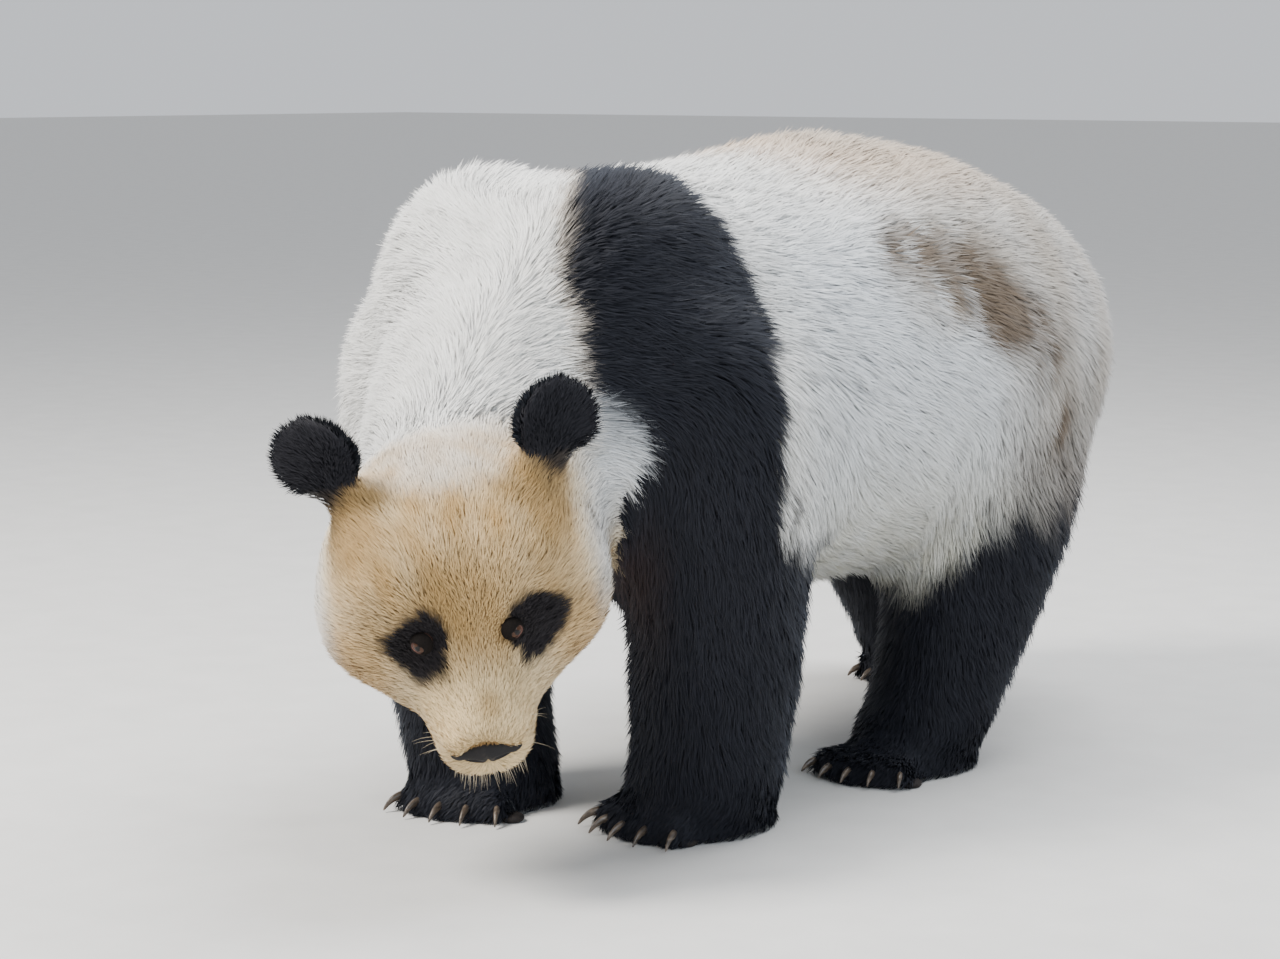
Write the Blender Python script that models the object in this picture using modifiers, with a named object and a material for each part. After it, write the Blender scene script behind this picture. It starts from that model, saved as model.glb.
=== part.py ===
"""Giant panda walking with its head low and turned to its left: a still, life-size model.

The outline is the animal's outline at the tips of its coat. The body is built whole from lofts and rounded
masses, fused, and then divided by thin cuts where a person would name its parts. Metres, +Z up, nose towards
-Y, the animal's left at +X, and the origin on the floor below the middle of the whole animal.
"""

import math

import bmesh
import bpy
from mathutils import Matrix, Vector

OBJECT = "giant_panda"

# ---------------------------------------------------------------------------------------------------------
# Driving sizes. While it is built the body has its own axes: Y = 0 at the left forefoot, X = 0 mid line.
# ---------------------------------------------------------------------------------------------------------
MASS_VOXEL = 0.012
MASS_SMOOTHING = 22
DETAIL_VOXEL = 0.007
DETAIL_SMOOTHING = 5
BODY_TRIANGLES = 3860
GAP = 0.0003
GROUND = 0.012
FLOOR_SINK = 0.010
CUT_FACE = 1
RIM_STEP = 0.022
RIM_PASSES = 5
TRUNK_SQUARENESS = 2.1
MUZZLE_SQUARENESS = 2.3
FRONT = Vector((0, -1, 0))
LEFT = Vector((1, 0, 0))
UP = Vector((0, 0, 1))

# Trunk, from the chest back to the rump: place, top, bottom, half width.
TRUNK = (
    (-0.200, 0.610, 0.370, 0.100),
    (-0.130, 0.680, 0.290, 0.175),
    (-0.040, 0.698, 0.242, 0.225),
    (0.080, 0.700, 0.226, 0.250),
    (0.200, 0.712, 0.220, 0.264),
    (0.340, 0.733, 0.220, 0.270),
    (0.480, 0.716, 0.234, 0.268),
    (0.590, 0.684, 0.268, 0.250),
    (0.680, 0.650, 0.305, 0.205),
    (0.744, 0.612, 0.335, 0.158),
    (0.790, 0.568, 0.375, 0.113),
    (0.816, 0.515, 0.420, 0.062),
)
TRUNK_WIDEST = 0.46

# Neck, from the shoulders to the back of the head: centre, half width, reach up, reach down.
NECK = (
    ((0.000, -0.020, 0.460), 0.200, 0.200, 0.210),
    ((0.008, -0.110, 0.445), 0.185, 0.190, 0.180),
    ((0.022, -0.190, 0.425), 0.160, 0.160, 0.155),
    ((0.046, -0.258, 0.395), 0.138, 0.112, 0.125),
    ((0.070, -0.305, 0.372), 0.100, 0.074, 0.090),
)

# Head: its own axes are X left, Y back, Z up, from the middle of the skull.
HEAD_CENTRE = (0.082, -0.324, 0.334)
HEAD_TURN = 43.0
HEAD_CANT = -9.0
MUZZLE_DROP = 57.0
HEAD_MASSES = (
    # side, back, up, then radii; those off the mid line are made on both sides
    ((0.000, 0.020, 0.000), (0.118, 0.125, 0.108)),
    ((0.052, -0.010, 0.030), (0.076, 0.092, 0.074)),
    ((0.078, -0.030, -0.030), (0.073, 0.084, 0.084)),
    ((0.036, -0.085, -0.034), (0.062, 0.062, 0.066)),
    ((0.060, 0.020, -0.050), (0.085, 0.090, 0.080)),
    ((0.000, -0.030, -0.080), (0.080, 0.105, 0.052)),
)
# Muzzle: place along the head, top, bottom, half width.
MUZZLE = (
    (-0.040, 0.066, -0.110, 0.084),
    (-0.085, 0.050, -0.106, 0.070),
    (-0.125, 0.030, -0.100, 0.058),
    (-0.160, 0.013, -0.090, 0.050),
    (-0.185, 0.002, -0.074, 0.042),
    (-0.198, -0.012, -0.054, 0.026),
)
EYE_AT = (0.042, -0.104, 0.030)
EYE_RADIUS = 0.0105
NOSE_AT = (0.0, -0.188, -0.014)
NOSE_RADII = (0.027, 0.015, 0.017)
EAR_AT = (0.114, 0.068, 0.106)
EAR_RADII = (0.048, 0.021, 0.050)
EAR_DISH = 0.012
EAR_TURNS = (-40.0, 12.0, 18.0)

# Legs: the centre line runs through three named places; the shares of the height carry the sections.
FORELEG_SECTIONS = (
    # share of the way down, half width, reach forward, reach back
    (-0.24, 0.030, 0.035, 0.035),
    (-0.18, 0.066, 0.075, 0.080),
    (-0.08, 0.092, 0.100, 0.112),
    (0.06, 0.104, 0.114, 0.134),
    (0.20, 0.106, 0.120, 0.136),
    (0.36, 0.101, 0.117, 0.124),
    (0.50, 0.095, 0.105, 0.114),
    (0.66, 0.090, 0.096, 0.104),
    (0.82, 0.083, 0.092, 0.092),
    (1.00, 0.074, 0.084, 0.080),
)
HINDLEG_SECTIONS = (
    (-0.22, 0.030, 0.040, 0.040),
    (-0.16, 0.075, 0.100, 0.076),
    (-0.04, 0.103, 0.140, 0.100),
    (0.12, 0.110, 0.152, 0.106),
    (0.28, 0.108, 0.144, 0.106),
    (0.44, 0.100, 0.130, 0.108),
    (0.60, 0.088, 0.108, 0.104),
    (0.78, 0.078, 0.090, 0.090),
    (1.00, 0.071, 0.080, 0.082),
)
FOREPAW = (0.066, 0.080, 0.046)
HINDPAW = (0.062, 0.088, 0.044)
PAW_AHEAD = 0.012
TOE_RADII = (0.0165, 0.030, 0.021)
TOE_SPREAD = 26.0
LEGS = {
    # joint at the top, middle joint, foot; the sections, the paw and the direction of the toes
    "foreleg_l": (
        ((0.160, -0.075, 0.500), (0.160, -0.026, 0.265), (0.118, 0.000, 0.0)),
        FORELEG_SECTIONS,
        FOREPAW,
        -10.0,
    ),
    "foreleg_r": (
        ((-0.160, -0.095, 0.500), (-0.156, -0.080, 0.265), (-0.115, -0.065, 0.0)),
        FORELEG_SECTIONS,
        FOREPAW,
        10.0,
    ),
    "hindleg_l": (
        ((0.142, 0.530, 0.400), (0.156, 0.452, 0.215), (0.138, 0.345, 0.0)),
        HINDLEG_SECTIONS,
        HINDPAW,
        2.0,
    ),
    "hindleg_r": (
        ((-0.150, 0.625, 0.400), (-0.156, 0.705, 0.215), (-0.120, 0.795, 0.0)),
        HINDLEG_SECTIONS,
        HINDPAW,
        -2.0,
    ),
}
BODY_MASSES = (
    # centre, radii: shoulder blades, then haunches
    ((0.100, -0.080, 0.545), (0.105, 0.135, 0.162)),
    ((-0.100, -0.085, 0.545), (0.105, 0.135, 0.162)),
    ((0.120, 0.550, 0.420), (0.112, 0.142, 0.180)),
    ((-0.128, 0.610, 0.420), (0.112, 0.145, 0.180)),
)
SIDES = (("l", 1), ("r", -1))

# Where the body is parted. Boxes are two corners; round regions are a centre and radii.
EAR_REGION = ((0.0, 0.0, 0.014), (0.068, 0.034, 0.048))
MUZZLE_BREAK = -0.122
MOUTH_HEIGHT = -0.060
JAW_REGION = ((-0.12, -0.26, -0.20), (0.12, MUZZLE_BREAK, MOUTH_HEIGHT))
MUZZLE_REGION = ((-0.12, -0.26, -0.20), (0.12, MUZZLE_BREAK, 0.12))
HEAD_REGION = ((0.0, -0.020, -0.010), (0.172, 0.150, 0.165))
PAW_TOP = 0.078
PAW_REACH = (0.115, 0.150)
LOWER_LEG_TOP = 0.205
LOWER_LEG_REACH = (0.120, 0.160)
MID_LINE_CLEARANCE = 0.004
UPPER_REGIONS = {
    "foreleg_l": ((0.250, -0.045, 0.350), (0.170, 0.170, 0.180)),
    "foreleg_r": ((0.250, -0.085, 0.350), (0.170, 0.170, 0.180)),
    "hindleg_l": ((0.250, 0.475, 0.325), (0.170, 0.210, 0.200)),
    "hindleg_r": ((0.250, 0.660, 0.325), (0.170, 0.200, 0.200)),
}
TAIL_REGION = ((-0.08, 0.812, 0.25), (0.08, 1.0, 0.515))
NECK_REGION = ((-0.40, -0.60, 0.10), (0.40, -0.150, 0.80))
CHEST_REGION = ((-0.50, -0.40, 0.10), (0.50, 0.190, 0.80))
BELLY_REGION = ((-0.50, 0.00, 0.10), (0.50, 0.430, 0.80))

# Claws
CLAW_STEPS = 3
CLAW_SIDES = 6
CLAW_BEND = 62.0
CLAW_ROOT = -0.020
CLAW_RISE = 0.002
CLAW_RADIUS = 0.0058
CLAW_LENGTHS = {"foreleg": 0.029, "hindleg": 0.023}

# Tail: it hangs close behind the rump. Centre, half width, reach back, reach forward.
TAIL = (
    ((0.000, 0.790, 0.520), 0.038, 0.028, 0.040),
    ((0.000, 0.821, 0.470), 0.044, 0.028, 0.034),
    ((0.000, 0.834, 0.405), 0.044, 0.024, 0.024),
    ((0.000, 0.834, 0.355), 0.034, 0.019, 0.018),
    ((0.000, 0.830, 0.328), 0.018, 0.012, 0.010),
)


# ---------------------------------------------------------------------------------------------------------
# Shapes
# ---------------------------------------------------------------------------------------------------------
def add_loft(mesh, stations, side, front, squareness=2.0, steps=28):
    """A closed tube through rings; a station is (centre, half width, reach to the front, reach to the back)."""
    rings = []
    for centre, half_width, ahead, behind in stations:
        ring = []
        for step in range(steps):
            turn = 2 * math.pi * step / steps
            across = math.copysign(abs(math.cos(turn)) ** (2 / squareness), math.cos(turn))
            along = math.copysign(abs(math.sin(turn)) ** (2 / squareness), math.sin(turn))
            reach = ahead if along > 0 else behind
            place = Vector(centre) + side * (half_width * across) + front * (reach * along)
            ring.append(mesh.verts.new(place))
        rings.append(ring)
    for ring, following in zip(rings, rings[1:]):
        for step in range(steps):
            after = (step + 1) % steps
            mesh.faces.new((ring[step], ring[after], following[after], following[step]))
    mesh.faces.new(rings[0])
    mesh.faces.new(rings[-1])


def add_ellipsoid(mesh, centre, radii, frame=None):
    placed = (frame or Matrix()) @ Matrix.Translation(centre) @ Matrix.Diagonal((*radii, 1.0))
    bmesh.ops.create_uvsphere(mesh, u_segments=32, v_segments=20, radius=1.0, matrix=placed)


def through(first, middle, last, share):
    """A point on the smooth curve from first to last whose middle is the middle point."""
    first, middle, last = Vector(first), Vector(middle), Vector(last)
    pull = 2 * middle - (first + last) / 2
    return first * (1 - share) ** 2 + pull * (2 * share * (1 - share)) + last * share**2


def head_frame():
    turned = Matrix.Rotation(math.radians(HEAD_TURN), 4, "Z")
    canted = Matrix.Rotation(math.radians(HEAD_CANT), 4, "Y")
    dropped = Matrix.Rotation(math.radians(MUZZLE_DROP), 4, "X")
    return Matrix.Translation(HEAD_CENTRE) @ turned @ canted @ dropped


def both_sides(place):
    return [place] if place[0] == 0 else [place, (-place[0], place[1], place[2])]


def add_trunk(mesh):
    stations = []
    for place, top, bottom, half_width in TRUNK:
        height = bottom + TRUNK_WIDEST * (top - bottom)
        stations.append(((0, place, height), half_width, top - height, height - bottom))
    add_loft(mesh, stations, LEFT, UP, TRUNK_SQUARENESS)


def add_neck(mesh):
    along = (Vector(NECK[-1][0]) - Vector(NECK[0][0])).normalized()
    side = along.cross(UP).normalized()
    add_loft(mesh, NECK, side, side.cross(along))


def add_leg(mesh, joints, sections):
    stations = [(through(*joints, share), *reach) for share, *reach in sections]
    stations.append((Vector(joints[-1]) - UP * FLOOR_SINK, *sections[-1][1:]))
    add_loft(mesh, stations, LEFT, FRONT)


def paw_frame(foot, heading):
    return Matrix.Translation(foot) @ Matrix.Rotation(math.radians(heading), 4, "Z")


def toe_places(paw):
    """Where each toe meets the pad and how far it fans out, from the inner side to the outer."""
    half_width, half_length, height = paw
    for toe in range(5):
        share = (toe - 2) / 2
        fan = share * TOE_SPREAD
        side = share * (half_width - TOE_RADII[0] * 0.9)
        ahead = -half_length + 0.014 * share**2
        yield Vector((side, ahead, GROUND + TOE_RADII[2] * 0.70)), fan


def add_paw(mesh, foot, paw, heading):
    frame = paw_frame(foot, heading)
    half_width, half_length, height = paw
    add_ellipsoid(mesh, (0, -PAW_AHEAD, height * 0.42), (half_width, half_length, height), frame)
    for place, fan in toe_places(paw):
        add_ellipsoid(mesh, (0, 0, 0), TOE_RADII, frame @ Matrix.Translation(place) @ turn_about(fan, "Z"))


def turn_about(degrees, axis):
    return Matrix.Rotation(math.radians(degrees), 4, axis)


def add_skull(mesh):
    frame = head_frame()
    for centre, radii in HEAD_MASSES:
        for place in both_sides(centre):
            add_ellipsoid(mesh, place, radii, frame)


def add_muzzle(mesh):
    frame = head_frame()
    turn = frame.to_3x3()
    stations = []
    for place, top, bottom, half_width in MUZZLE:
        half_height = (top - bottom) / 2
        centre = frame @ Vector((0, place, bottom + half_height))
        stations.append((centre, half_width, half_height, half_height))
    add_loft(mesh, stations, turn @ LEFT, turn @ UP, MUZZLE_SQUARENESS)


def ear_frame(sign):
    lean, splay, turn_out = EAR_TURNS
    place = Matrix.Translation((sign * EAR_AT[0], EAR_AT[1], EAR_AT[2]))
    turns = turn_about(sign * turn_out, "Z") @ turn_about(sign * splay, "Y") @ turn_about(lean, "X")
    return head_frame() @ place @ turns


def add_ear(mesh, sign):
    made = bmesh.ops.create_uvsphere(mesh, u_segments=32, v_segments=20, radius=1.0)
    frame = ear_frame(sign)
    for vertex in made["verts"]:
        x, y, z = (vertex.co[i] * EAR_RADII[i] for i in range(3))
        if y < 0:
            y += EAR_DISH * max(0.0, 1 - vertex.co.x**2 - vertex.co.z**2)
        vertex.co = frame @ Vector((x, y, z))


# ---------------------------------------------------------------------------------------------------------
# Objects
# ---------------------------------------------------------------------------------------------------------
def new_object(name, mesh, collection=None):
    bmesh.ops.recalc_face_normals(mesh, faces=mesh.faces)
    data = bpy.data.meshes.new(name)
    data.materials.append(None)
    data.materials.append(None)
    mesh.to_mesh(data)
    mesh.free()
    made = bpy.data.objects.new(name, data)
    (collection or bpy.context.scene.collection).objects.link(made)
    return made


def settle(made):
    """Replaces an object's mesh with what its modifiers make of it."""
    bpy.context.view_layer.update()
    evaluated = made.evaluated_get(bpy.context.evaluated_depsgraph_get())
    data = bpy.data.meshes.new_from_object(evaluated)
    made.modifiers.clear()
    old = made.data
    made.data = data
    bpy.data.meshes.remove(old)
    return made


def fuse(made, voxel, smoothing):
    merge = made.modifiers.new("Fuse", "REMESH")
    merge.mode = "VOXEL"
    merge.voxel_size = voxel
    soften = made.modifiers.new("Soften", "SMOOTH")
    soften.factor = 0.5
    soften.iterations = smoothing
    return settle(made)


def thin_out(made, triangles):
    """Brings a mesh down to about this many triangles."""
    made.data.calc_loop_triangles()
    fewer = made.modifiers.new("Thin out", "DECIMATE")
    fewer.ratio = triangles / len(made.data.loop_triangles)
    fewer.use_collapse_triangulate = True
    return settle(made)


def make_masses():
    mesh = bmesh.new()
    add_trunk(mesh)
    add_neck(mesh)
    add_skull(mesh)
    for joints, sections, _, _ in LEGS.values():
        add_leg(mesh, joints, sections)
    for centre, radii in BODY_MASSES:
        add_ellipsoid(mesh, centre, radii)
    return fuse(new_object("masses", mesh, workshop), MASS_VOXEL, MASS_SMOOTHING)


def make_body():
    masses = make_masses()
    mesh = bmesh.new()
    mesh.from_mesh(masses.data)
    bpy.data.objects.remove(masses)
    add_muzzle(mesh)
    add_loft(mesh, TAIL, LEFT, -FRONT)
    for sign in (1, -1):
        add_ear(mesh, sign)
    for joints, _, paw, heading in LEGS.values():
        add_paw(mesh, joints[-1], paw, heading)
    body = fuse(new_object("body", mesh, workshop), DETAIL_VOXEL, DETAIL_SMOOTHING)
    return thin_out(body, BODY_TRIANGLES)


# ---------------------------------------------------------------------------------------------------------
# Dividing the body
# ---------------------------------------------------------------------------------------------------------
def combine(made, other, operation):
    cut = made.modifiers.new("Cut", "BOOLEAN")
    cut.operation = operation
    cut.object = other
    return settle(made)


def keep_largest(made):
    """Drops the loose crumbs that a cut can leave beside the piece itself."""
    mesh = bmesh.new()
    mesh.from_mesh(made.data)
    unseen = set(mesh.verts)
    islands = []
    while unseen:
        island = [unseen.pop()]
        for vertex in island:
            near = neighbours(vertex) & unseen
            unseen -= near
            island.extend(near)
        islands.append(island)
    islands.sort(key=len)
    for island in islands[:-1]:
        bmesh.ops.delete(mesh, geom=island, context="VERTS")
    mesh.to_mesh(made.data)
    mesh.free()
    return made


def mark_as_cut(mesh):
    for face in mesh.faces:
        face.material_index = CUT_FACE


def neighbours(vertex):
    return {edge.other_vert(vertex) for edge in vertex.link_edges}


def lone_cut_face(vertex):
    """The one cut face that meets this vertex, or nothing where it meets none or several."""
    found = [face for face in vertex.link_faces if face.material_index == CUT_FACE]
    return found[0] if len(found) == 1 else None


def is_rim(edge):
    """An edge between the coat's outline and a cut."""
    return {face.material_index for face in edge.link_faces} == {0, CUT_FACE}


def simplify_rims(made):
    """Merges close neighbours along the rim of each cut, which keeps every cut face in its plane."""
    mesh = bmesh.new()
    mesh.from_mesh(made.data)
    rims = [edge for edge in mesh.edges if is_rim(edge)]
    rims.sort(key=lambda edge: edge.calc_length())
    used = set()
    merged = {}
    for edge in rims:
        first, second = edge.verts
        face = lone_cut_face(first)
        if edge.calc_length() > RIM_STEP or face is None or face is not lone_cut_face(second):
            continue
        around = neighbours(first) | neighbours(second)
        shared = neighbours(first) & neighbours(second)
        corners = {vertex for link in edge.link_faces if len(link.verts) == 3 for vertex in link.verts}
        if len(face.verts) < 6 or around & used or not shared <= corners:
            continue
        used.update(around)
        middle = (first.co + second.co) / 2
        first.co = middle
        second.co = middle
        merged[second] = first
    bmesh.ops.weld_verts(mesh, targetmap=merged)
    mesh.to_mesh(made.data)
    mesh.free()


def box_region(low, high, frame=None):
    """A closed box between two corners of a frame; a second one is larger by the gap all round."""

    def build(grow):
        mesh = bmesh.new()
        low_corner, high_corner = Vector(low), Vector(high)
        size = high_corner - low_corner + Vector((2 * grow,) * 3)
        placed = Matrix.Translation((low_corner + high_corner) / 2) @ Matrix.Diagonal((*size, 1.0))
        bmesh.ops.create_cube(mesh, size=1.0, matrix=(frame or Matrix()) @ placed)
        mark_as_cut(mesh)
        return new_object("region", mesh, cutters)

    return build


def round_region(centre, radii, frame=None):
    """A closed ellipsoid of a frame; a second one is larger by the gap all round."""

    def build(grow):
        mesh = bmesh.new()
        size = [radius + grow for radius in radii]
        placed = Matrix.Translation(centre) @ Matrix.Diagonal((*size, 1.0))
        bmesh.ops.create_uvsphere(
            mesh, u_segments=14, v_segments=9, radius=1.0, matrix=(frame or Matrix()) @ placed
        )
        mark_as_cut(mesh)
        return new_object("region", mesh, cutters)

    return build


def take(rest, name, region, material):
    """Parts what lies in the region from the rest, with the gap between them, as an object of its own."""
    piece = bpy.data.objects.new(name, rest.data.copy())
    panda.objects.link(piece)
    keep_largest(combine(piece, region(0), "INTERSECT"))
    keep_largest(combine(rest, region(GAP), "DIFFERENCE"))
    return finish(piece, material)


def finish(piece, material):
    for _ in range(RIM_PASSES):
        simplify_rims(piece)
    piece.data.materials.clear()
    piece.data.materials.append(material)
    for face in piece.data.polygons:
        face.material_index = 0
    piece.data.shade_smooth()
    return piece


def material(name, colour, roughness):
    made = bpy.data.materials.new(name)
    made.use_nodes = True
    shader = made.node_tree.nodes["Principled BSDF"]
    shader.inputs["Base Color"].default_value = (*colour, 1)
    shader.inputs["Roughness"].default_value = roughness
    shader.inputs["Metallic"].default_value = 0.0
    return made


def level_body(body):
    """Cuts the soles flat at floor level."""
    below = box_region((-1, -1, -1), (1, 2, GROUND))
    return keep_largest(combine(body, below(0), "DIFFERENCE"))


def part_head(rest):
    frame = head_frame()
    for side, sign in SIDES:
        take(rest, f"ear_{side}", round_region(*EAR_REGION, ear_frame(sign)), black_fur)
    take(rest, "lower_jaw", box_region(*JAW_REGION, frame), cream_fur)
    take(rest, "muzzle", box_region(*MUZZLE_REGION, frame), cream_fur)
    take(rest, "head", round_region(*HEAD_REGION, frame), cream_fur)


def part_leg(rest, name, upper_region):
    joints = LEGS[name][0]
    foot = Vector(joints[-1])
    around = Vector((*PAW_REACH, 0))
    low, high = foot - around - UP * PAW_TOP, foot + around + UP * PAW_TOP
    take(rest, f"{name}_paw", box_region(low, high), black_fur)
    middle = through(*joints, 0.75)
    middle.z = 0
    around = Vector((min(LOWER_LEG_REACH[0], abs(middle.x) - MID_LINE_CLEARANCE), LOWER_LEG_REACH[1], 0))
    low, high = middle - around, middle + around + UP * LOWER_LEG_TOP
    take(rest, f"{name}_lower", box_region(low, high), black_fur)
    centre, radii = upper_region
    place = (math.copysign(centre[0], foot.x), centre[1], centre[2])
    take(rest, f"{name}_upper", round_region(place, radii), black_fur)


def claw_frame(name, place, fan):
    joints, _, _, heading = LEGS[name]
    return paw_frame(joints[-1], heading) @ Matrix.Translation(place) @ turn_about(fan, "Z")


def add_claw(mesh, frame, length, grow):
    """A claw that curves forward and down from its root to a blunt tip."""
    rings = []
    for step in range(CLAW_STEPS + 1):
        share = step / CLAW_STEPS
        bend = math.radians(CLAW_BEND) * share
        ahead = CLAW_ROOT - length * math.sin(bend) / math.radians(CLAW_BEND)
        drop = CLAW_RISE - length * (1 - math.cos(bend)) / math.radians(CLAW_BEND)
        thick = CLAW_RADIUS * (1 - 0.78 * share**1.4) + grow
        ring = []
        for side in range(CLAW_SIDES):
            turn = 2 * math.pi * side / CLAW_SIDES
            across = 0.72 * thick * math.cos(turn)
            over = thick * math.sin(turn)
            place = Vector((across, ahead - over * math.sin(bend), drop + over * math.cos(bend)))
            ring.append(mesh.verts.new(frame @ place))
        rings.append(ring)
    for ring, following in zip(rings, rings[1:]):
        for side in range(CLAW_SIDES):
            after = (side + 1) % CLAW_SIDES
            mesh.faces.new((ring[side], ring[after], following[after], following[side]))
    mesh.faces.new(rings[0])
    mesh.faces.new(rings[-1])


def make_claws(name):
    """Five claws, each set in a pocket of the paw."""
    paw_piece = bpy.data.objects[f"{name}_paw"]
    length = CLAW_LENGTHS[name.split("_")[0]]
    for number, (place, fan) in enumerate(toe_places(LEGS[name][2]), 1):
        frame = claw_frame(name, place, fan)
        shapes = []
        for grow in (0, GAP):
            mesh = bmesh.new()
            add_claw(mesh, frame, length, grow)
            shapes.append(mesh)
        combine(paw_piece, new_object("pocket", shapes[1], cutters), "DIFFERENCE")
        finish(new_object(f"{name}_claw_{number}", shapes[0], panda), claw_horn)
    keep_largest(paw_piece)


def round_piece(name, centre, radii, frame, grow, collection):
    mesh = bmesh.new()
    size = [radius + grow for radius in radii]
    placed = frame @ Matrix.Translation(centre) @ Matrix.Diagonal((*size, 1.0))
    bmesh.ops.create_uvsphere(mesh, u_segments=12, v_segments=8, radius=1.0, matrix=placed)
    return new_object(name, mesh, collection)


def set_in(holder, name, centre, radii, material_used):
    """A round piece set in a pocket of the piece that holds it."""
    frame = head_frame()
    holding = bpy.data.objects[holder]
    pocket = round_piece("pocket", centre, radii, frame, GAP, cutters)
    keep_largest(combine(holding, pocket, "DIFFERENCE"))
    finish(round_piece(name, centre, radii, frame, 0, panda), material_used)


def centre_on_floor():
    """Moves the whole animal so that the origin is on the floor below the middle of its box."""
    xs, ys, _ = zip(*(vertex.co for piece in panda.objects for vertex in piece.data.vertices))
    middle = Vector(((min(xs) + max(xs)) / 2, (min(ys) + max(ys)) / 2, GROUND))
    for piece in list(panda.objects) + list(cutters.objects):
        piece.data.transform(Matrix.Translation(-middle))


for old in list(bpy.data.objects):
    bpy.data.objects.remove(old)
panda = bpy.data.collections.new(OBJECT)
cutters = bpy.data.collections.new("cutters")
workshop = bpy.context.scene.collection
workshop.children.link(panda)
workshop.children.link(cutters)

white_fur = material("white_fur", (0.86, 0.84, 0.80), 0.9)
cream_fur = material("cream_fur", (0.74, 0.64, 0.50), 0.9)
grey_fur = material("grey_fur", (0.55, 0.50, 0.44), 0.9)
black_fur = material("black_fur", (0.015, 0.015, 0.020), 0.85)
claw_horn = material("claw_horn", (0.30, 0.25, 0.20), 0.4)
nose_skin = material("nose_skin", (0.02, 0.02, 0.02), 0.35)
eye_surface = material("eye_surface", (0.05, 0.03, 0.02), 0.08)

rest = level_body(make_body())
part_head(rest)
for leg in LEGS:
    part_leg(rest, leg, UPPER_REGIONS[leg])
take(rest, "tail", box_region(*TAIL_REGION), white_fur)
take(rest, "neck", box_region(*NECK_REGION), white_fur)
take(rest, "chest", box_region(*CHEST_REGION), white_fur)
take(rest, "belly", box_region(*BELLY_REGION), white_fur)
rest.name = "rump"
panda.objects.link(rest)
workshop.objects.unlink(rest)
finish(rest, grey_fur)
set_in("muzzle", "nose", NOSE_AT, NOSE_RADII, nose_skin)
for side, sign in SIDES:
    eye_place = (sign * EYE_AT[0], EYE_AT[1], EYE_AT[2])
    set_in("head", f"eye_{side}", eye_place, (EYE_RADIUS,) * 3, eye_surface)
for leg in LEGS:
    make_claws(leg)
centre_on_floor()
for cutter in cutters.objects:
    cutter.hide_render = True
    cutter.display_type = "WIRE"
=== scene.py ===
import math

import bmesh
import bpy
import numpy as np
from mathutils import Matrix, Vector
from mathutils.bvhtree import BVHTree
from mathutils.kdtree import KDTree


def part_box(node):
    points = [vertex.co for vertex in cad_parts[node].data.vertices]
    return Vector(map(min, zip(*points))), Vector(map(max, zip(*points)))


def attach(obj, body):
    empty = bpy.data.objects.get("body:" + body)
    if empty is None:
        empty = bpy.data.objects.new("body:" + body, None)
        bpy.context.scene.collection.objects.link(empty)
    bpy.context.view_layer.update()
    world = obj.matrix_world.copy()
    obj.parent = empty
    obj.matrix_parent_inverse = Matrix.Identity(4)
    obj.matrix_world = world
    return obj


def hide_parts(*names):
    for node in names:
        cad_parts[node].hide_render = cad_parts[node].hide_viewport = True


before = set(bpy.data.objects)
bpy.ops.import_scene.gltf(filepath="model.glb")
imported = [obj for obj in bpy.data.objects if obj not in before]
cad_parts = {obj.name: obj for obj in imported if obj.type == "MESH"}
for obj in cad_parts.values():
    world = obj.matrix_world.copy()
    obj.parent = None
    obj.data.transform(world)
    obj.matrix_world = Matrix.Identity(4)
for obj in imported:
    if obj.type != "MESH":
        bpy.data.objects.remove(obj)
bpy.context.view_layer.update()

rng = np.random.default_rng(11)

# ---------------------------------------------------------------------------------------------------------
# Sizes, in metres unless the name says otherwise
# ---------------------------------------------------------------------------------------------------------
CAMERA_AT = (1.965, -2.4923, 0.778)
CAMERA_AZIMUTH = 40.0
CAMERA_DROP = 8.0
CAMERA_LENS_MM = 81.2
SENSOR_MM = 36.0
NEAREST, FARTHEST = 0.05, 60.0

LEGS = ("foreleg_l", "foreleg_r", "hindleg_l", "hindleg_r")
LEG_PARTS = ("upper", "lower", "paw")
SIDES = (("l", 1), ("r", -1))
FACE_NODES = ("head", "muzzle", "lower_jaw")
TRUNK_NODES = ("neck", "chest", "belly", "rump", "tail")
FLESH = FACE_NODES + ("ear_l", "ear_r") + TRUNK_NODES + tuple(f"{leg}_{p}" for leg in LEGS for p in LEG_PARTS)

SKIN_VOXEL = 0.0064
SEAM_GROWTH = 0.0012
EYE_RADIUS = 0.0105
SOLE_HEIGHT = 0.004
EYE_SINK, EYE_RAISE = 0.0055, 0.009

# Coat of each part: depth over the skin, hair length, hair width, lift from the skin in degrees at the root
# and at the tip, and how closely its tufts stand. The second table gives depth, length and width by the eyes,
# and the third each piece of coat: the parts that it grows on, its slot and its number of tufts.
COAT = {
    "head": (0.009, 0.015, 0.0010, 32, 14, 1.0),
    "muzzle": (0.003, 0.008, 0.0008, 22, 10, 1.5),
    "lower_jaw": (0.004, 0.013, 0.0009, 26, 18, 1.4),
    "ear": (0.008, 0.016, 0.0010, 48, 34, 1.0),
    "neck": (0.022, 0.038, 0.0015, 40, 20, 1.0),
    "chest": (0.023, 0.040, 0.0016, 40, 18, 1.0),
    "belly": (0.024, 0.042, 0.0016, 40, 18, 1.0),
    "rump": (0.023, 0.040, 0.0016, 40, 20, 1.0),
    "tail": (0.018, 0.044, 0.0016, 38, 24, 1.3),
    "upper": (0.020, 0.036, 0.0016, 40, 20, 1.0),
    "lower": (0.017, 0.032, 0.0016, 40, 22, 1.1),
    "paw": (0.007, 0.016, 0.0013, 34, 18, 1.6),
}
COAT_BY_EYE = (0.003, 0.0075, 0.0009)
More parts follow.
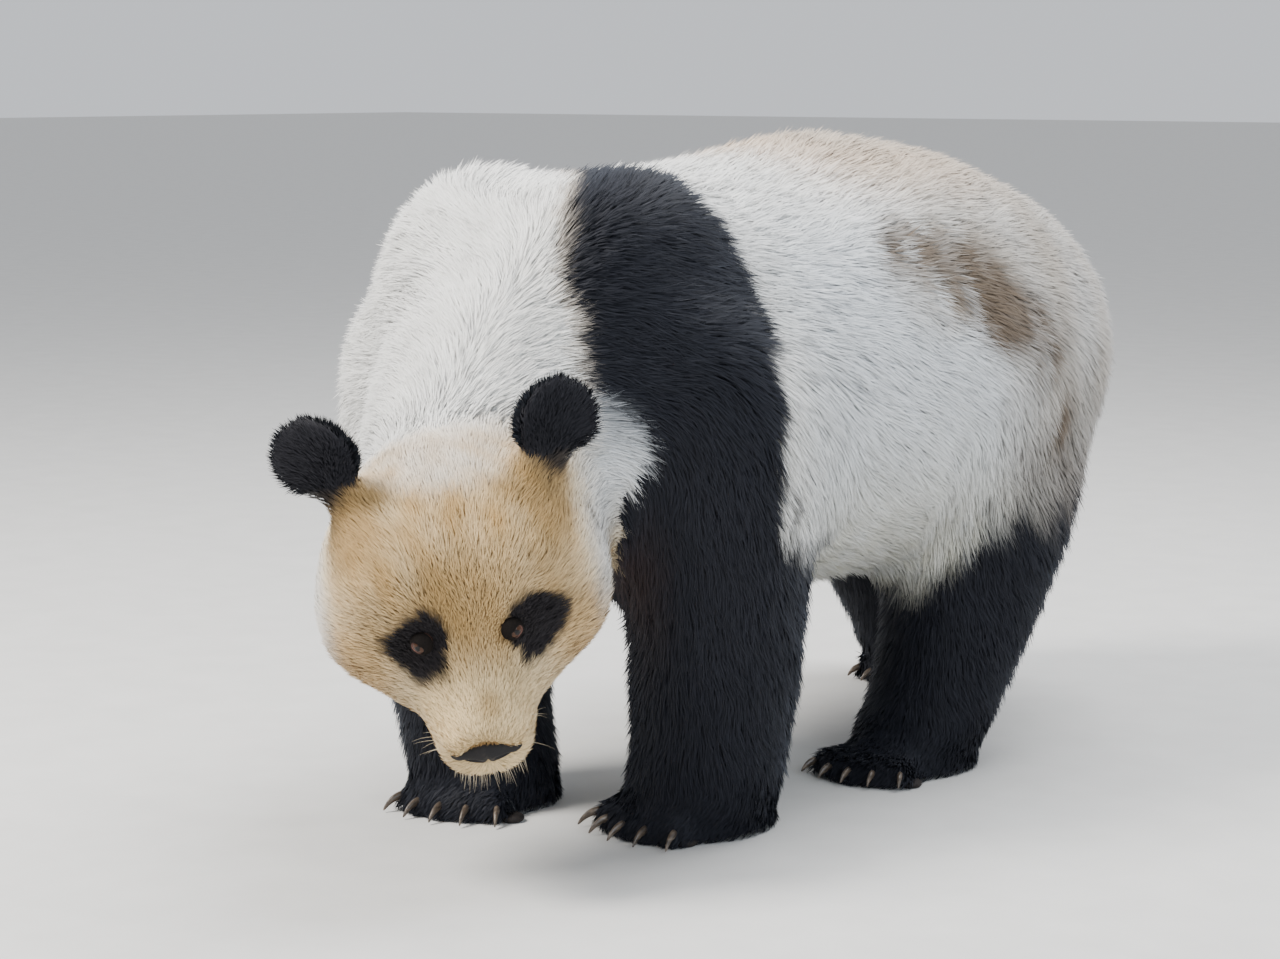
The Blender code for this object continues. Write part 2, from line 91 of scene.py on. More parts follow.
COAT_PIECES = {
    "head": (FACE_NODES, "face_fur", 66000),
    "ears": (("ear_l", "ear_r"), "black_fur", 16000),
    "neck": (("neck",), "white_fur", 56000),
    "chest": (("chest",), "white_fur", 64000),
    "belly": (("belly",), "white_fur", 56000),
    "rump": (("rump", "tail"), "rump_fur", 66000),
    "foreleg_l": (tuple(f"foreleg_l_{part}" for part in LEG_PARTS), "black_fur", 48000),
    "foreleg_r": (tuple(f"foreleg_r_{part}" for part in LEG_PARTS), "black_fur", 42000),
    "hindleg_l": (tuple(f"hindleg_l_{part}" for part in LEG_PARTS), "black_fur", 42000),
    "hindleg_r": (tuple(f"hindleg_r_{part}" for part in LEG_PARTS), "black_fur", 38000),
}
OFBAKE_PATCH = 0.003
OFBAKE_MARGIN = 0.02
LENGTH_SPREAD = (0.70, 1.15)
WIDTH_SPREAD = (0.75, 1.25)
SHADE_SPREAD = (0.92, 1.05)
ROOT_DEPTH = 0.0012
TIP_DROOP = 0.10
LEAST_COAT_HEIGHT = 0.0006

# One tuft: its five points across and along, its faces, and how tone and lean change from root to tip; the
# tone is painted shade, darker at the root deep in the coat than at the tip.
TUFT_PLACES = np.array(((-0.4, 0.0), (0.4, 0.0), (-0.5, 0.5), (0.5, 0.5), (0.0, 1.0)))
TUFT_FACES = ((0, 2, 1), (1, 2, 3), (2, 4, 3))
TUFT_DEPTH_SHADE = (0.88, 0.88, 0.97, 0.97, 1.03)
TUFT_LEAN = (0.0, 0.0, 0.12, 0.12, 0.25)

# Rounds of smoothing over the skin's mesh.
FREE_ROUNDS, SHAPE_ROUNDS, COAT_ROUNDS, NORMAL_ROUNDS, LAST_ROUNDS = 10, 22, 40, 6, 3
ROOT_ROUNDS, LIE_ROUNDS, DENSITY_ROUNDS = 4, 14, 6

# Places and sizes in the head's own axes: the eye and the nose of the frame, and the nose pad as it is made.
EYE_IN_HEAD = (0.042, -0.104, 0.030)
NOSE_IN_HEAD = (0.0, -0.188, -0.014)
NOSE_PLACE = (0.0, -0.190, -0.023)
NOSE_SIZE = (0.031, 0.012, 0.014)
GROOVE_DEPTH, NOSTRIL_DEPTH, SLIT_DEPTH = 0.0035, 0.0100, 0.0060
SOCKET_DEPTH, OVER_NOSE, LIP_RISE, MOUTH_DEPTH = 0.004, 0.014, 0.009, 0.007

# Eye and lids, angles in degrees from the middle of the gaze.
GAZE = (0.46, -0.72, 0.52)
EYE_SLANT = 18.0
CORNEA_REACH, CORNEA_RISE = 26, 0.07
IRIS_REACH = 50
PUPIL_HALF = (0.22, 0.34)
LID_HALF_WIDTH, UPPER_LID, LOWER_LID, LID_REACH, LID_ROLL = 36.0, 19.0, 17.0, 105.0, 4.0
LID_PROFILE = (
    (-0.04, 0.98), (0.0, 1.06), (0.04, 1.11), (0.10, 1.13), (0.20, 1.13), (0.34, 1.12),
    (0.5, 1.11), (0.7, 1.09), (0.85, 1.05), (1.0, 0.98),
)
LID_STEPS = 64
BARE_EYE, BARE_NOSE = 0.0085, 1.02

CLAWS = range(1, 6)
SIDE_WHISKERS, LIP_HAIRS = 7, 64
PAD_HEIGHT, PAD_RISE, PAD_FLOOR = 0.006, 0.004, 0.0002
TOE_PAD = (0.0105, 0.013)
TOE_PAD_BACK, SOLE_PAD_BACK = 0.016, 0.010

# Each light: its place, what it points at, its width, watts and colour.
LIGHTS = {
    "key_light": ((-1.3, -2.4, 3.2), (0.0, -0.1, 0.4), 1.5, 260.0, (1.0, 0.97, 0.92)),
    "top_light": ((0.4, 1.2, 3.4), (0.0, 0.0, 0.4), 2.4, 150.0, (0.98, 0.99, 1.0)),
    "fill_light": ((3.2, -1.4, 1.6), (0.0, 0.0, 0.3), 2.6, 62.0, (0.80, 0.90, 1.0)),
}
BACKDROP, BACKDROP_STRENGTH = (0.80, 0.83, 0.88, 1.0), 0.95
FLOOR_HALF = 40.0


# ---------------------------------------------------------------------------------------------------------
# Camera, floor and light
# ---------------------------------------------------------------------------------------------------------
def make_camera():
    lens = bpy.data.cameras.new("camera")
    lens.lens = CAMERA_LENS_MM
    lens.sensor_width = SENSOR_MM
    lens.clip_start, lens.clip_end = NEAREST, FARTHEST
    camera = bpy.data.objects.new("camera", lens)
    bpy.context.scene.collection.objects.link(camera)
    turn, drop = math.radians(CAMERA_AZIMUTH), math.radians(CAMERA_DROP)
    back = Vector((math.sin(turn) * math.cos(drop), -math.cos(turn) * math.cos(drop), math.sin(drop)))
    camera.location = CAMERA_AT
    camera.rotation_mode = "QUATERNION"
    camera.rotation_quaternion = (-back).to_track_quat("-Z", "Y")
    bpy.context.scene.camera = camera


def make_light(name, at, aim, size, power, colour):
    light = bpy.data.lights.new(name, "AREA")
    light.shape = "DISK"
    light.size = size
    light.energy = power
    light.color = colour
    lamp = bpy.data.objects.new(name, light)
    bpy.context.scene.collection.objects.link(lamp)
    lamp.location = at
    lamp.rotation_euler = (Vector(aim) - Vector(at)).to_track_quat("-Z", "Y").to_euler()


def make_studio():
    for name, (at, aim, size, power, colour) in LIGHTS.items():
        make_light(name, at, aim, size, power, colour)
    world = bpy.data.worlds.new("studio")
    world.use_nodes = True
    backdrop = world.node_tree.nodes["Background"]
    backdrop.inputs["Color"].default_value = BACKDROP
    backdrop.inputs["Strength"].default_value = BACKDROP_STRENGTH
    bpy.context.scene.world = world


def make_floor():
    mesh = bmesh.new()
    bmesh.ops.create_grid(mesh, x_segments=1, y_segments=1, size=FLOOR_HALF)
    floor = object_from(mesh, "floor")
    floor.data.materials.append(floor_finish())


# ---------------------------------------------------------------------------------------------------------
# Finishes
# ---------------------------------------------------------------------------------------------------------
def finish_named(name, roughness, specular=0.5):
    made = bpy.data.materials.new(name)
    made.use_nodes = True
    shader = made.node_tree.nodes["Principled BSDF"]
    shader.inputs["Roughness"].default_value = roughness
    shader.inputs["Specular IOR Level"].default_value = specular
    return made, made.node_tree, shader


def add_noise(tree, scale, detail=3.0, distortion=0.0, stretch=None):
    """A noise texture on object coordinates; a stretch squeezes it along each axis."""
    place = tree.nodes.new("ShaderNodeTexCoord")
    noise = tree.nodes.new("ShaderNodeTexNoise")
    noise.inputs["Scale"].default_value = scale
    noise.inputs["Detail"].default_value = detail
    noise.inputs["Distortion"].default_value = distortion
    source = place.outputs["Object"]
    if stretch:
        mapping = tree.nodes.new("ShaderNodeMapping")
        mapping.inputs["Scale"].default_value = stretch
        tree.links.new(source, mapping.inputs["Vector"])
        source = mapping.outputs["Vector"]
    tree.links.new(source, noise.inputs["Vector"])
    return noise


def add_ramp(tree, source, stops):
    ramp = tree.nodes.new("ShaderNodeValToRGB")
    while len(ramp.color_ramp.elements) < len(stops):
        ramp.color_ramp.elements.new(0.5)
    for element, (place, colour) in zip(ramp.color_ramp.elements, stops):
        element.position = place
        element.color = (*colour, 1.0)
    tree.links.new(source, ramp.inputs["Fac"])
    return ramp


def add_bump(tree, shader, source, strength, distance):
    bump = tree.nodes.new("ShaderNodeBump")
    bump.inputs["Strength"].default_value = strength
    bump.inputs["Distance"].default_value = distance
    tree.links.new(source, bump.inputs["Height"])
    tree.links.new(bump.outputs["Normal"], shader.inputs["Normal"])


def greys(low, high):
    """The stops of a ramp from one grey to another."""
    return (0.3, (low, low, low)), (0.7, (high, high, high))


def tint(tree, base, factor_source, stops):
    """The base colour multiplied by a ramp over the factor."""
    ramp = add_ramp(tree, factor_source, stops)
    mix = tree.nodes.new("ShaderNodeMix")
    mix.data_type = "RGBA"
    mix.blend_type = "MULTIPLY"
    mix.inputs["Factor"].default_value = 1.0
    tree.links.new(base, mix.inputs[6])
    tree.links.new(ramp.outputs["Color"], mix.inputs[7])
    return mix.outputs[2]


def marking_source(tree):
    marking = tree.nodes.new("ShaderNodeVertexColor")
    marking.layer_name = "Marking"
    return marking.outputs["Color"]


def coat_finish():
    """Fur: the marking's own colour, varied in patches and from lock to lock, with a soft sheen."""
    made, tree, shader = finish_named("coat", roughness=0.66, specular=0.2)
    patches = add_noise(tree, scale=26.0, detail=4.0)
    locks = add_noise(tree, scale=420.0, detail=2.0)
    colour = tint(tree, marking_source(tree), patches.outputs["Fac"], greys(0.90, 1.06))
    colour = tint(tree, colour, locks.outputs["Fac"], greys(0.92, 1.05))
    tree.links.new(colour, shader.inputs["Base Color"])
    shader.inputs["Sheen Weight"].default_value = 0.08
    shader.inputs["Sheen Roughness"].default_value = 0.45
    shader.inputs["Sheen Tint"].default_value = (0.75, 0.84, 1.0, 1.0)
    return made


def skin_finish():
    """Skin and underfur between the locks: the same marking, a little deeper as painted shade under the coat,
    with a fine short nap.
    """
    made, tree, shader = finish_named("skin_and_underfur", roughness=0.85, specular=0.2)
    nap = add_noise(tree, scale=700.0, detail=4.0, distortion=0.4)
    soft = add_noise(tree, scale=90.0, detail=4.0)
    # The nap is darkened as painted shade between the hairs.
    shade_between_hairs = ((0.3, (0.62, 0.61, 0.60)), (0.7, (0.96, 0.96, 0.96)))
    colour = tint(tree, marking_source(tree), nap.outputs["Fac"], shade_between_hairs)
    colour = tint(tree, colour, soft.outputs["Fac"], greys(0.88, 1.0))
    tree.links.new(colour, shader.inputs["Base Color"])
    add_bump(tree, shader, nap.outputs["Fac"], strength=0.7, distance=0.0015)
    return made


def leather_finish(name, dark, light, grain, roughness):
    """Bare pebbled skin, as on the nose and the pads."""
    made, tree, shader = finish_named(name, roughness, 0.22)
    pebbles = tree.nodes.new("ShaderNodeTexVoronoi")
    place = tree.nodes.new("ShaderNodeTexCoord")
    pebbles.inputs["Scale"].default_value = grain
    tree.links.new(place.outputs["Object"], pebbles.inputs["Vector"])
    blotches = add_noise(tree, scale=grain / 6, detail=4.0)
    ramp = add_ramp(tree, blotches.outputs["Fac"], ((0.35, dark), (0.7, light)))
    tree.links.new(ramp.outputs["Color"], shader.inputs["Base Color"])
    add_bump(tree, shader, pebbles.outputs["Distance"], strength=0.5, distance=0.0006)
    return made


def lid_finish():
    """Fine dark folds over the lids' own colour, with their pink rim."""
    made, tree, shader = finish_named("eyelid_skin", roughness=0.8, specular=0.08)
    folds = add_noise(tree, scale=900.0, detail=4.0, distortion=0.5)
    colour = tint(tree, marking_source(tree), folds.outputs["Fac"], greys(0.7, 1.1))
    tree.links.new(colour, shader.inputs["Base Color"])
    add_bump(tree, shader, folds.outputs["Fac"], strength=0.5, distance=0.0005)
    return made


def horn_finish():
    """Dark horn with pale streaks along the claw."""
    made, tree, shader = finish_named("claw_horn", roughness=0.34, specular=0.5)
    streaks = add_noise(tree, scale=160.0, detail=5.0, distortion=0.6, stretch=(1.0, 0.35, 1.0))
    horn = ((0.3, (0.03, 0.022, 0.016)), (0.55, (0.10, 0.075, 0.055)), (0.8, (0.24, 0.19, 0.14)))
    ramp = add_ramp(tree, streaks.outputs["Fac"], horn)
    tree.links.new(ramp.outputs["Color"], shader.inputs["Base Color"])
    add_bump(tree, shader, streaks.outputs["Fac"], strength=0.35, distance=0.0006)
    return made


def eye_finish():
    made, tree, shader = finish_named("eye_surface", roughness=0.10, specular=0.18)
    flecks = add_noise(tree, scale=1500.0, detail=4.0)
    warm_flecks = ((0.3, (0.6, 0.6, 0.6)), (0.7, (1.25, 1.2, 1.1)))
    colour = tint(tree, marking_source(tree), flecks.outputs["Fac"], warm_flecks)
    tree.links.new(colour, shader.inputs["Base Color"])
    shader.inputs["Coat Weight"].default_value = 0.12
    shader.inputs["Coat Roughness"].default_value = 0.05
    return made


def whisker_finish():
    made, tree, shader = finish_named("whisker", roughness=0.4, specular=0.4)
    streaks = add_noise(tree, scale=300.0, detail=2.0)
    ramp = add_ramp(tree, streaks.outputs["Fac"], ((0.3, (0.46, 0.37, 0.24)), (0.7, (0.72, 0.63, 0.48))))
    tree.links.new(ramp.outputs["Color"], shader.inputs["Base Color"])
    return made


def floor_finish():
    made, tree, shader = finish_named("studio_floor", roughness=0.8, specular=0.3)
    grain = add_noise(tree, scale=14.0, detail=5.0)
    ramp = add_ramp(tree, grain.outputs["Fac"], ((0.3, (0.62, 0.61, 0.59)), (0.7, (0.66, 0.65, 0.63))))
    tree.links.new(ramp.outputs["Color"], shader.inputs["Base Color"])
    return made


# ---------------------------------------------------------------------------------------------------------
# Mesh helpers
# ---------------------------------------------------------------------------------------------------------
def object_from(mesh, name):
    data = bpy.data.meshes.new(name)
    mesh.to_mesh(data)
    mesh.free()
    made = bpy.data.objects.new(name, data)
    bpy.context.scene.collection.objects.link(made)
    return made


def mesh_of_triangles(name, points, corners):
    """A smooth-shaded mesh from points and the corners of its triangles."""
    data = bpy.data.meshes.new(name)
    faces = len(corners) // 3
    data.vertices.add(len(points))
    data.loops.add(len(corners))
    data.polygons.add(faces)
    data.vertices.foreach_set("co", points.astype(np.float32).ravel())
    data.loops.foreach_set("vertex_index", corners.astype(np.int32))
    data.polygons.foreach_set("loop_start", (np.arange(faces) * 3).astype(np.int32))
    data.polygons.foreach_set("use_smooth", np.ones(faces, bool))
    data.update(calc_edges=True)
    return data


def read_points(data, kind="co"):
    """The mesh's points, or its normals with kind "normal"."""
    values = np.empty(len(data.vertices) * 3, np.float32)
    if kind == "co":
        data.vertices.foreach_get("co", values)
    else:
        data.vertex_normals.foreach_get("vector", values)
    return values.reshape(-1, 3).astype(float)


def read_edges(data):
    ends = np.empty(len(data.edges) * 2, np.int32)
    data.edges.foreach_get("vertices", ends)
    return ends.reshape(-1, 2)


def paint(data, colours):
    layer = data.color_attributes.new("Marking", "FLOAT_COLOR", "POINT")
    rgba = np.ones((len(colours), 4), np.float32)
    rgba[:, :3] = colours
    layer.data.foreach_set("color", rgba.ravel())


def unit(vectors):
    return vectors / np.maximum(np.linalg.norm(vectors, axis=-1, keepdims=True), 1e-9)


def flatten_to(vectors, normals):
    """The part of each vector that lies along the surface, as a unit vector."""
    return unit(vectors - (vectors * normals).sum(-1, keepdims=True) * normals)


def spread(values, edges, rounds, strength=0.5, weights=None):
    """Values smoothed along the edges of a mesh; weights say how freely each point moves."""
    values = np.array(values, float)
    flat = values.reshape(len(values), -1)
    counts = np.bincount(edges.ravel(), minlength=len(flat)).astype(float)[:, None]
    free = strength if weights is None else strength * weights[:, None]
    for _ in range(rounds):
        total = np.zeros_like(flat)
        for column in range(flat.shape[1]):
            total[:, column] = np.bincount(edges[:, 0], flat[edges[:, 1], column], len(flat))
            total[:, column] += np.bincount(edges[:, 1], flat[edges[:, 0], column], len(flat))
        flat = flat + free * (total / np.maximum(counts, 1) - flat)
    return flat.reshape(values.shape)


def ease(value, low, high):
    """0 below low, 1 above high, and a smooth step between."""
    t = np.clip((value - low) / (high - low), 0, 1)
    return t * t * (3 - 2 * t)


def waves(points, wavelength, seed):
    """A smooth random value from about -1 to 1 at each point, from a few crossing waves."""
    draw = np.random.default_rng(seed)
    total = np.zeros(len(points))
    for _ in range(7):
        way = unit(draw.normal(size=3)) * (2 * math.pi / wavelength) * draw.uniform(0.6, 1.5)
        total += np.sin(points @ way + draw.uniform(0, 2 * math.pi))
    return total / 3.0


# ---------------------------------------------------------------------------------------------------------
# The head's own axes, from the eyes and the nose of the frame: X to its left, Y back, Z up
# ---------------------------------------------------------------------------------------------------------
def middle_of(node):
    low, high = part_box(node)
    return (low + high) / 2


def head_axes():
    """Nose and eye places in the head's axes are known, so the axes follow from where the frame has them."""
    left_eye, right_eye, nose = middle_of("eye_l"), middle_of("eye_r"), middle_of("nose")
    across = (left_eye - right_eye).normalized()
    rise = (left_eye + right_eye) / 2 - nose
    rise -= across * rise.dot(across)
    tilt = math.atan2(EYE_IN_HEAD[2] - NOSE_IN_HEAD[2], EYE_IN_HEAD[1] - NOSE_IN_HEAD[1])
    back = Matrix.Rotation(-tilt, 3, across) @ rise.normalized()
    up = across.cross(back)
    turn = Matrix((across, back, up)).transposed()
    centre = (left_eye + right_eye) / 2 - turn @ Vector((0, EYE_IN_HEAD[1], EYE_IN_HEAD[2]))
    return np.array(turn), np.array(centre)


HEAD_TURN, HEAD_CENTRE = head_axes()


def eye_place(sign):
    """The middle of an eye as it is made: a little deeper and higher than in the frame."""
    return np.array((sign * EYE_IN_HEAD[0], EYE_IN_HEAD[1] + EYE_SINK, EYE_IN_HEAD[2] + EYE_RAISE))


def in_head(points):
    return (points - HEAD_CENTRE) @ HEAD_TURN


def from_head(points):
    return np.asarray(points) @ HEAD_TURN.T + HEAD_CENTRE


# ---------------------------------------------------------------------------------------------------------
# Markings, the same for skin and coat
# ---------------------------------------------------------------------------------------------------------
WHITE = np.array((0.80, 0.79, 0.76))
# Bluish white, used as painted shade on the flank and on the sides of the head.
SHADE_BLUE_WHITE = np.array((0.74, 0.77, 0.80))
CREAM = np.array((0.76, 0.57, 0.30))
TAN = np.array((0.46, 0.28, 0.10))
AMBER = np.array((0.52, 0.31, 0.11))
PEACH = np.array((0.66, 0.46, 0.29))
DIRT = np.array((0.17, 0.125, 0.085))
GREY = np.array((0.42, 0.37, 0.31))
SLATE = np.array((0.19, 0.18, 0.18))
OLIVE = np.array((0.46, 0.42, 0.27))
BLACK = np.array((0.011, 0.012, 0.018))
RUST = np.array((0.055, 0.026, 0.018))
PUPIL_BLACK = (0.004, 0.003, 0.003)
IRIS_BROWN = (0.050, 0.020, 0.009)
EYE_EDGE = (0.05, 0.028, 0.022)
LID_BLACK = (0.009, 0.007, 0.006)
LID_RIM = np.array((0.30, 0.15, 0.12))
EAR_BLACK = BLACK * (1.3, 1.15, 1.0)
EAR_BASE_BLACK = BLACK * (1.6, 1.3, 1.0)
PATCH_BLACK = BLACK * (1.3, 0.95, 0.70)
MUZZLE_CREAM = CREAM * (1.05, 1.06, 1.10)
HAUNCH_GREY = GREY * (1.1, 1.08, 1.05)

BAND_FRONT = (
    (0.25, -0.375), (0.31, -0.402), (0.38, -0.430), (0.45, -0.424), (0.52, -0.402),
    (0.58, -0.393), (0.62, -0.378), (0.66, -0.350), (0.69, -0.325), (0.72, -0.312),
)
BAND_REAR = (
    (0.20, -0.170), (0.29, -0.205), (0.38, -0.238), (0.46, -0.245), (0.54, -0.226),
    (0.61, -0.222), (0.66, -0.250), (0.72, -0.240),
)
CHEST_BLACK_TOP = 0.300
HIND_BLACK_TOP = 0.305
FRINGE_WIDTH = 0.007
PATCHES = {1: (0.062, 0.029), -1: (-0.044, 0.031)}
PATCH_AXIS = (0.50, -0.866)
PATCH_HALF = (0.032, 0.026)
PATCH_ROUNDNESS = 2.4
SOILED = ((0.232, 0.080, 0.575), (0.120, 0.160, 0.090))
DIRT_SPOTS = (
    ((0.215, 0.030, 0.590), (0.070, 0.085, 0.050), 0.50),
    ((0.235, 0.110, 0.570), (0.080, 0.080, 0.060), 0.62),
    ((0.250, 0.150, 0.530), (0.080, 0.080, 0.065), 0.85),
    ((0.262, 0.225, 0.500), (0.070, 0.075, 0.075), 0.45),
    ((0.255, 0.290, 0.390), (0.035, 0.040, 0.090), 0.50),
    ((-0.230, 0.150, 0.540), (0.080, 0.190, 0.110), 0.22),
)


def blend(base, colour, share):
    return base + (colour - base) * np.clip(share, 0, 1)[:, None]


def spot(points, centre, radii):
    """1 at the middle of a soft oval, 0 outside it."""
    return 1 - ease(np.linalg.norm((points - np.array(centre)) / np.array(radii), axis=1), 0.35, 1.0)


def curve_at(curve, height):
    heights, places = zip(*curve)
    return np.interp(height, heights, places)


def band_share(points, rag):
    """The black band over the shoulders, with its front and rear edges as curves over the height."""
    x, y, z = points.T
    right_side = 0.10 * (1 - ease(x, -0.05, 0.125)) * ease(z, 0.30, 0.46)
    front = curve_at(BAND_FRONT, z) + right_side + rag * 0.004
    rear = curve_at(BAND_REAR, z) + 0.7 * right_side + rag * 0.012
    return ease(y, front - 0.008, front + 0.008) * (1 - ease(y, rear - 0.010, rear + 0.010))


def face_colours(points, head):
    """Cream and golden face with white cheeks under painted bluish shade, brown ear bases and the black
    patches round the eyes.
    """
    x, y, z = head.T
    colours = np.tile(WHITE, (len(points), 1))
    crown = ease(z - 0.25 * y, 0.015, 0.060) * (1 - ease(y, 0.055, 0.125))
    crown = crown * (1 - ease(np.abs(x), 0.085, 0.130))
    streaks = 0.5 + 0.5 * waves(points * (1.0, 1.0, 0.5), wavelength=0.030, seed=5)
    colours = blend(colours, CREAM, 0.85 * (1 - ease(y, 0.02, 0.12)))
    colours = blend(colours, TAN, crown * (0.48 + 0.34 * streaks))
    between_ears = spot(head, (0.0, 0.050, 0.090), (0.080, 0.050, 0.060))
    colours = blend(colours, WHITE * 0.95, between_ears * (0.55 - 0.25 * streaks))
    # Tan of the brow round the eye patches: partly the face's own tan, partly painted shade of the eye
    # sockets.
    brow_tan_and_shade = spot(head, (0.0, -0.085, 0.062), (0.060, 0.070, 0.060))
    colours = blend(colours, TAN, 0.70 * brow_tan_and_shade)
    for sign in (1, -1):
        side = spot(head, (sign * 0.100, -0.082, -0.020), (0.060, 0.075, 0.065))
        colours = blend(colours, AMBER, 0.66 * side)
        root = spot(head, (sign * 0.092, 0.005, 0.078), (0.055, 0.070, 0.055))
        colours = blend(colours, TAN * 0.8, 0.80 * root)
        base = spot(head, (sign * 0.110, 0.042, 0.086), (0.036, 0.030, 0.036))
        colours = blend(colours, EAR_BASE_BLACK, 0.95 * base)
    muzzle = 1 - ease(y, -0.150, -0.118)
    colours = blend(colours, MUZZLE_CREAM, 0.9 * muzzle)
    # A darker tan spot on the top of the muzzle.
    muzzle_dark_spot = spot(head, (0.010, -0.165, 0.014), (0.016, 0.022, 0.022))
    colours = blend(colours, TAN * 0.8, 0.55 * muzzle_dark_spot)
    # The white cheeks and temples carry a painted bluish shade.
    shaded_temple = ease(np.abs(x), 0.108, 0.140) * ease(z, -0.08, 0.0)
    colours = blend(colours, SHADE_BLUE_WHITE, 0.8 * shaded_temple)
    rag = waves(points, wavelength=0.016, seed=8)
    for sign, (px, pz) in PATCHES.items():
        along = (x - px) * sign * PATCH_AXIS[0] + (z - pz) * PATCH_AXIS[1]
        across = (x - px) * sign * -PATCH_AXIS[1] + (z - pz) * PATCH_AXIS[0]
        width = PATCH_HALF[1] * (1 + 0.20 * np.clip(along / PATCH_HALF[0], -1, 1))
        square = (np.abs(along) / PATCH_HALF[0]) ** PATCH_ROUNDNESS
        square = square + (np.abs(across) / width) ** PATCH_ROUNDNESS
        reach = square ** (1 / PATCH_ROUNDNESS)
        inside = 1 - ease(reach + 0.05 * rag, 0.90, 1.04)
        on_face = (y < -0.03) * ease(y, -0.140, -0.125)
        colours = blend(colours, PATCH_BLACK, inside * on_face)
    return colours


def body_colours(points, lower_legs):
    """White body with its black band and legs, painted bluish shade on the flank, peach top, soiled hip, grey
    haunch and olive belly.
    """
    x, y, z = points.T
    rag = waves(points, wavelength=0.045, seed=3)
    cloud = waves(points, wavelength=0.16, seed=4)
    fine = waves(points * (1.0, 1.0, 0.35), wavelength=0.035, seed=6)
    colours = np.tile(WHITE, (len(points), 1))
    # Painted bluish shade over the white of the flank.
    flank_shade = ease(y, -0.26, -0.10) * (1 - ease(z, 0.56, 0.66))
    colours = blend(colours, SHADE_BLUE_WHITE, 0.75 * flank_shade)
    low = ease(y, -0.30, -0.05) * (1 - ease(z + 0.02 * fine, 0.26, 0.46))
    colours = blend(colours, OLIVE, low * (0.50 + 0.16 * fine))
    top = ease(y, -0.10, 0.10) * ease(z, 0.60, 0.68)
    colours = blend(colours, PEACH, 0.85 * top)
    haunch = ease(y + 0.5 * (z - 0.4), 0.12, 0.26)
    colours = blend(colours, HAUNCH_GREY, haunch * (0.72 + 0.22 * cloud))
    low_haunch = haunch * (1 - ease(z + 0.02 * fine, 0.33, 0.46))
    colours = blend(colours, SLATE, 0.65 * low_haunch)
    soiled = spot(points, *SOILED)
    colours = blend(colours, GREY, soiled * (0.70 + 0.35 * fine))
    for centre, radii, share in DIRT_SPOTS:
        colours = blend(colours, DIRT, 1.5 * spot(points, centre, radii) * (share + 0.32 * fine))
    hind_top = HIND_BLACK_TOP + 0.014 * rag - 0.10 * (1 - ease(y, 0.13, 0.20)) * (x > 0)
    hind = (1 - ease(z, hind_top - 0.035, hind_top + 0.045)) * ease(y, 0.06, 0.11)
    hind = hind * ease(np.abs(x), 0.03, 0.07)
    colours = blend(colours, BLACK, hind)
    fringe = band_share(points + (0, FRINGE_WIDTH, 0), rag)
    colours = blend(colours, TAN * 0.8, 0.45 * fringe)
    band = band_share(points, rag)
    colours = blend(colours, BLACK, band)
    chest = 1 - ease(z + 0.008 * rag, CHEST_BLACK_TOP - 0.02, CHEST_BLACK_TOP + 0.02)
    chest = chest * (1 - ease(y, -0.140, -0.100))
    colours = blend(colours, BLACK, chest)
    colours = blend(colours, BLACK, lower_legs)
    warm = spot(points, (0.10, -0.33, 0.30), (0.10, 0.06, 0.30))
    dark = ease(0.1 - colours.mean(1), 0.0, 0.06)
    return blend(colours, RUST, 0.45 * warm * dark)


def markings(points, parts):
    """Colour at each point of the skin, by the part that it belongs to."""
    elbow = np.char.startswith(parts, "foreleg") * (1 - ease(points[:, 2], 0.29, 0.35))
    low_leg = np.char.endswith(parts, "_lower") | np.char.endswith(parts, "_paw")
    colours = body_colours(points, np.maximum(elbow, low_leg))
    head = in_head(points)
    face = np.isin(parts, FACE_NODES)
    face_share = ease(-head[:, 1], -0.150, -0.070) * ease(0.215 - np.linalg.norm(head, axis=1), 0.0, 0.03)
    face_share = np.where(face, 1.0, face_share * (parts == "neck"))
    colours = blend(colours, face_colours(points, head), face_share)
    ears = np.char.startswith(parts, "ear")
    return np.where(ears[:, None], EAR_BLACK, colours)


# ---------------------------------------------------------------------------------------------------------
# Skin
# ---------------------------------------------------------------------------------------------------------
def join_flesh():
    """One mesh of all the flesh nodes, each closed and grown a little so that the cuts between them close."""
    whole = bmesh.new()
    for name in FLESH:
        piece = bmesh.new()
        piece.from_mesh(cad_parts[name].data)
        bmesh.ops.remove_doubles(piece, verts=piece.verts, dist=1e-5)
        piece.normal_update()
        for vertex in piece.verts:
            vertex.co += vertex.normal * SEAM_GROWTH
        grown = bpy.data.meshes.new("grown")
        piece.to_mesh(grown)
        piece.free()
        whole.from_mesh(grown)
        bpy.data.meshes.remove(grown)
    return object_from(whole, "skin")


def remeshed(made, voxel):
    merge = made.modifiers.new("One skin", "REMESH")
    merge.mode = "VOXEL"
    merge.voxel_size = voxel
    bpy.context.view_layer.update()
    data = bpy.data.meshes.new_from_object(made.evaluated_get(bpy.context.evaluated_depsgraph_get()))
    made.modifiers.clear()
    made.data = data
    return data


def nearest_parts(points):
    """The name of the flesh node whose surface is nearest to each point."""
    tree_points, tree_names = [], []
    for name in FLESH:
        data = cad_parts[name].data
        corners = read_points(data)
        loops = np.empty(len(data.loops), np.int32)
        data.loops.foreach_get("vertex_index", loops)
        centres = corners[loops].reshape(-1, 3, 3).mean(1)
        found = np.concatenate([corners, centres])
        tree_points.append(found)
        tree_names += [name] * len(found)
    tree_points = np.concatenate(tree_points)
    tree = KDTree(len(tree_points))
    for index, place in enumerate(tree_points):
        tree.insert(place, index)
    tree.balance()
    return np.array([tree_names[tree.find(place)[1]] for place in points])


def coat_kind(part):
    """Which row of the coat table a flesh node uses."""
    if part.startswith(("fore", "hind")):
        return part.split("_")[-1]
    if part.startswith("ear"):
        return "ear"
    return part


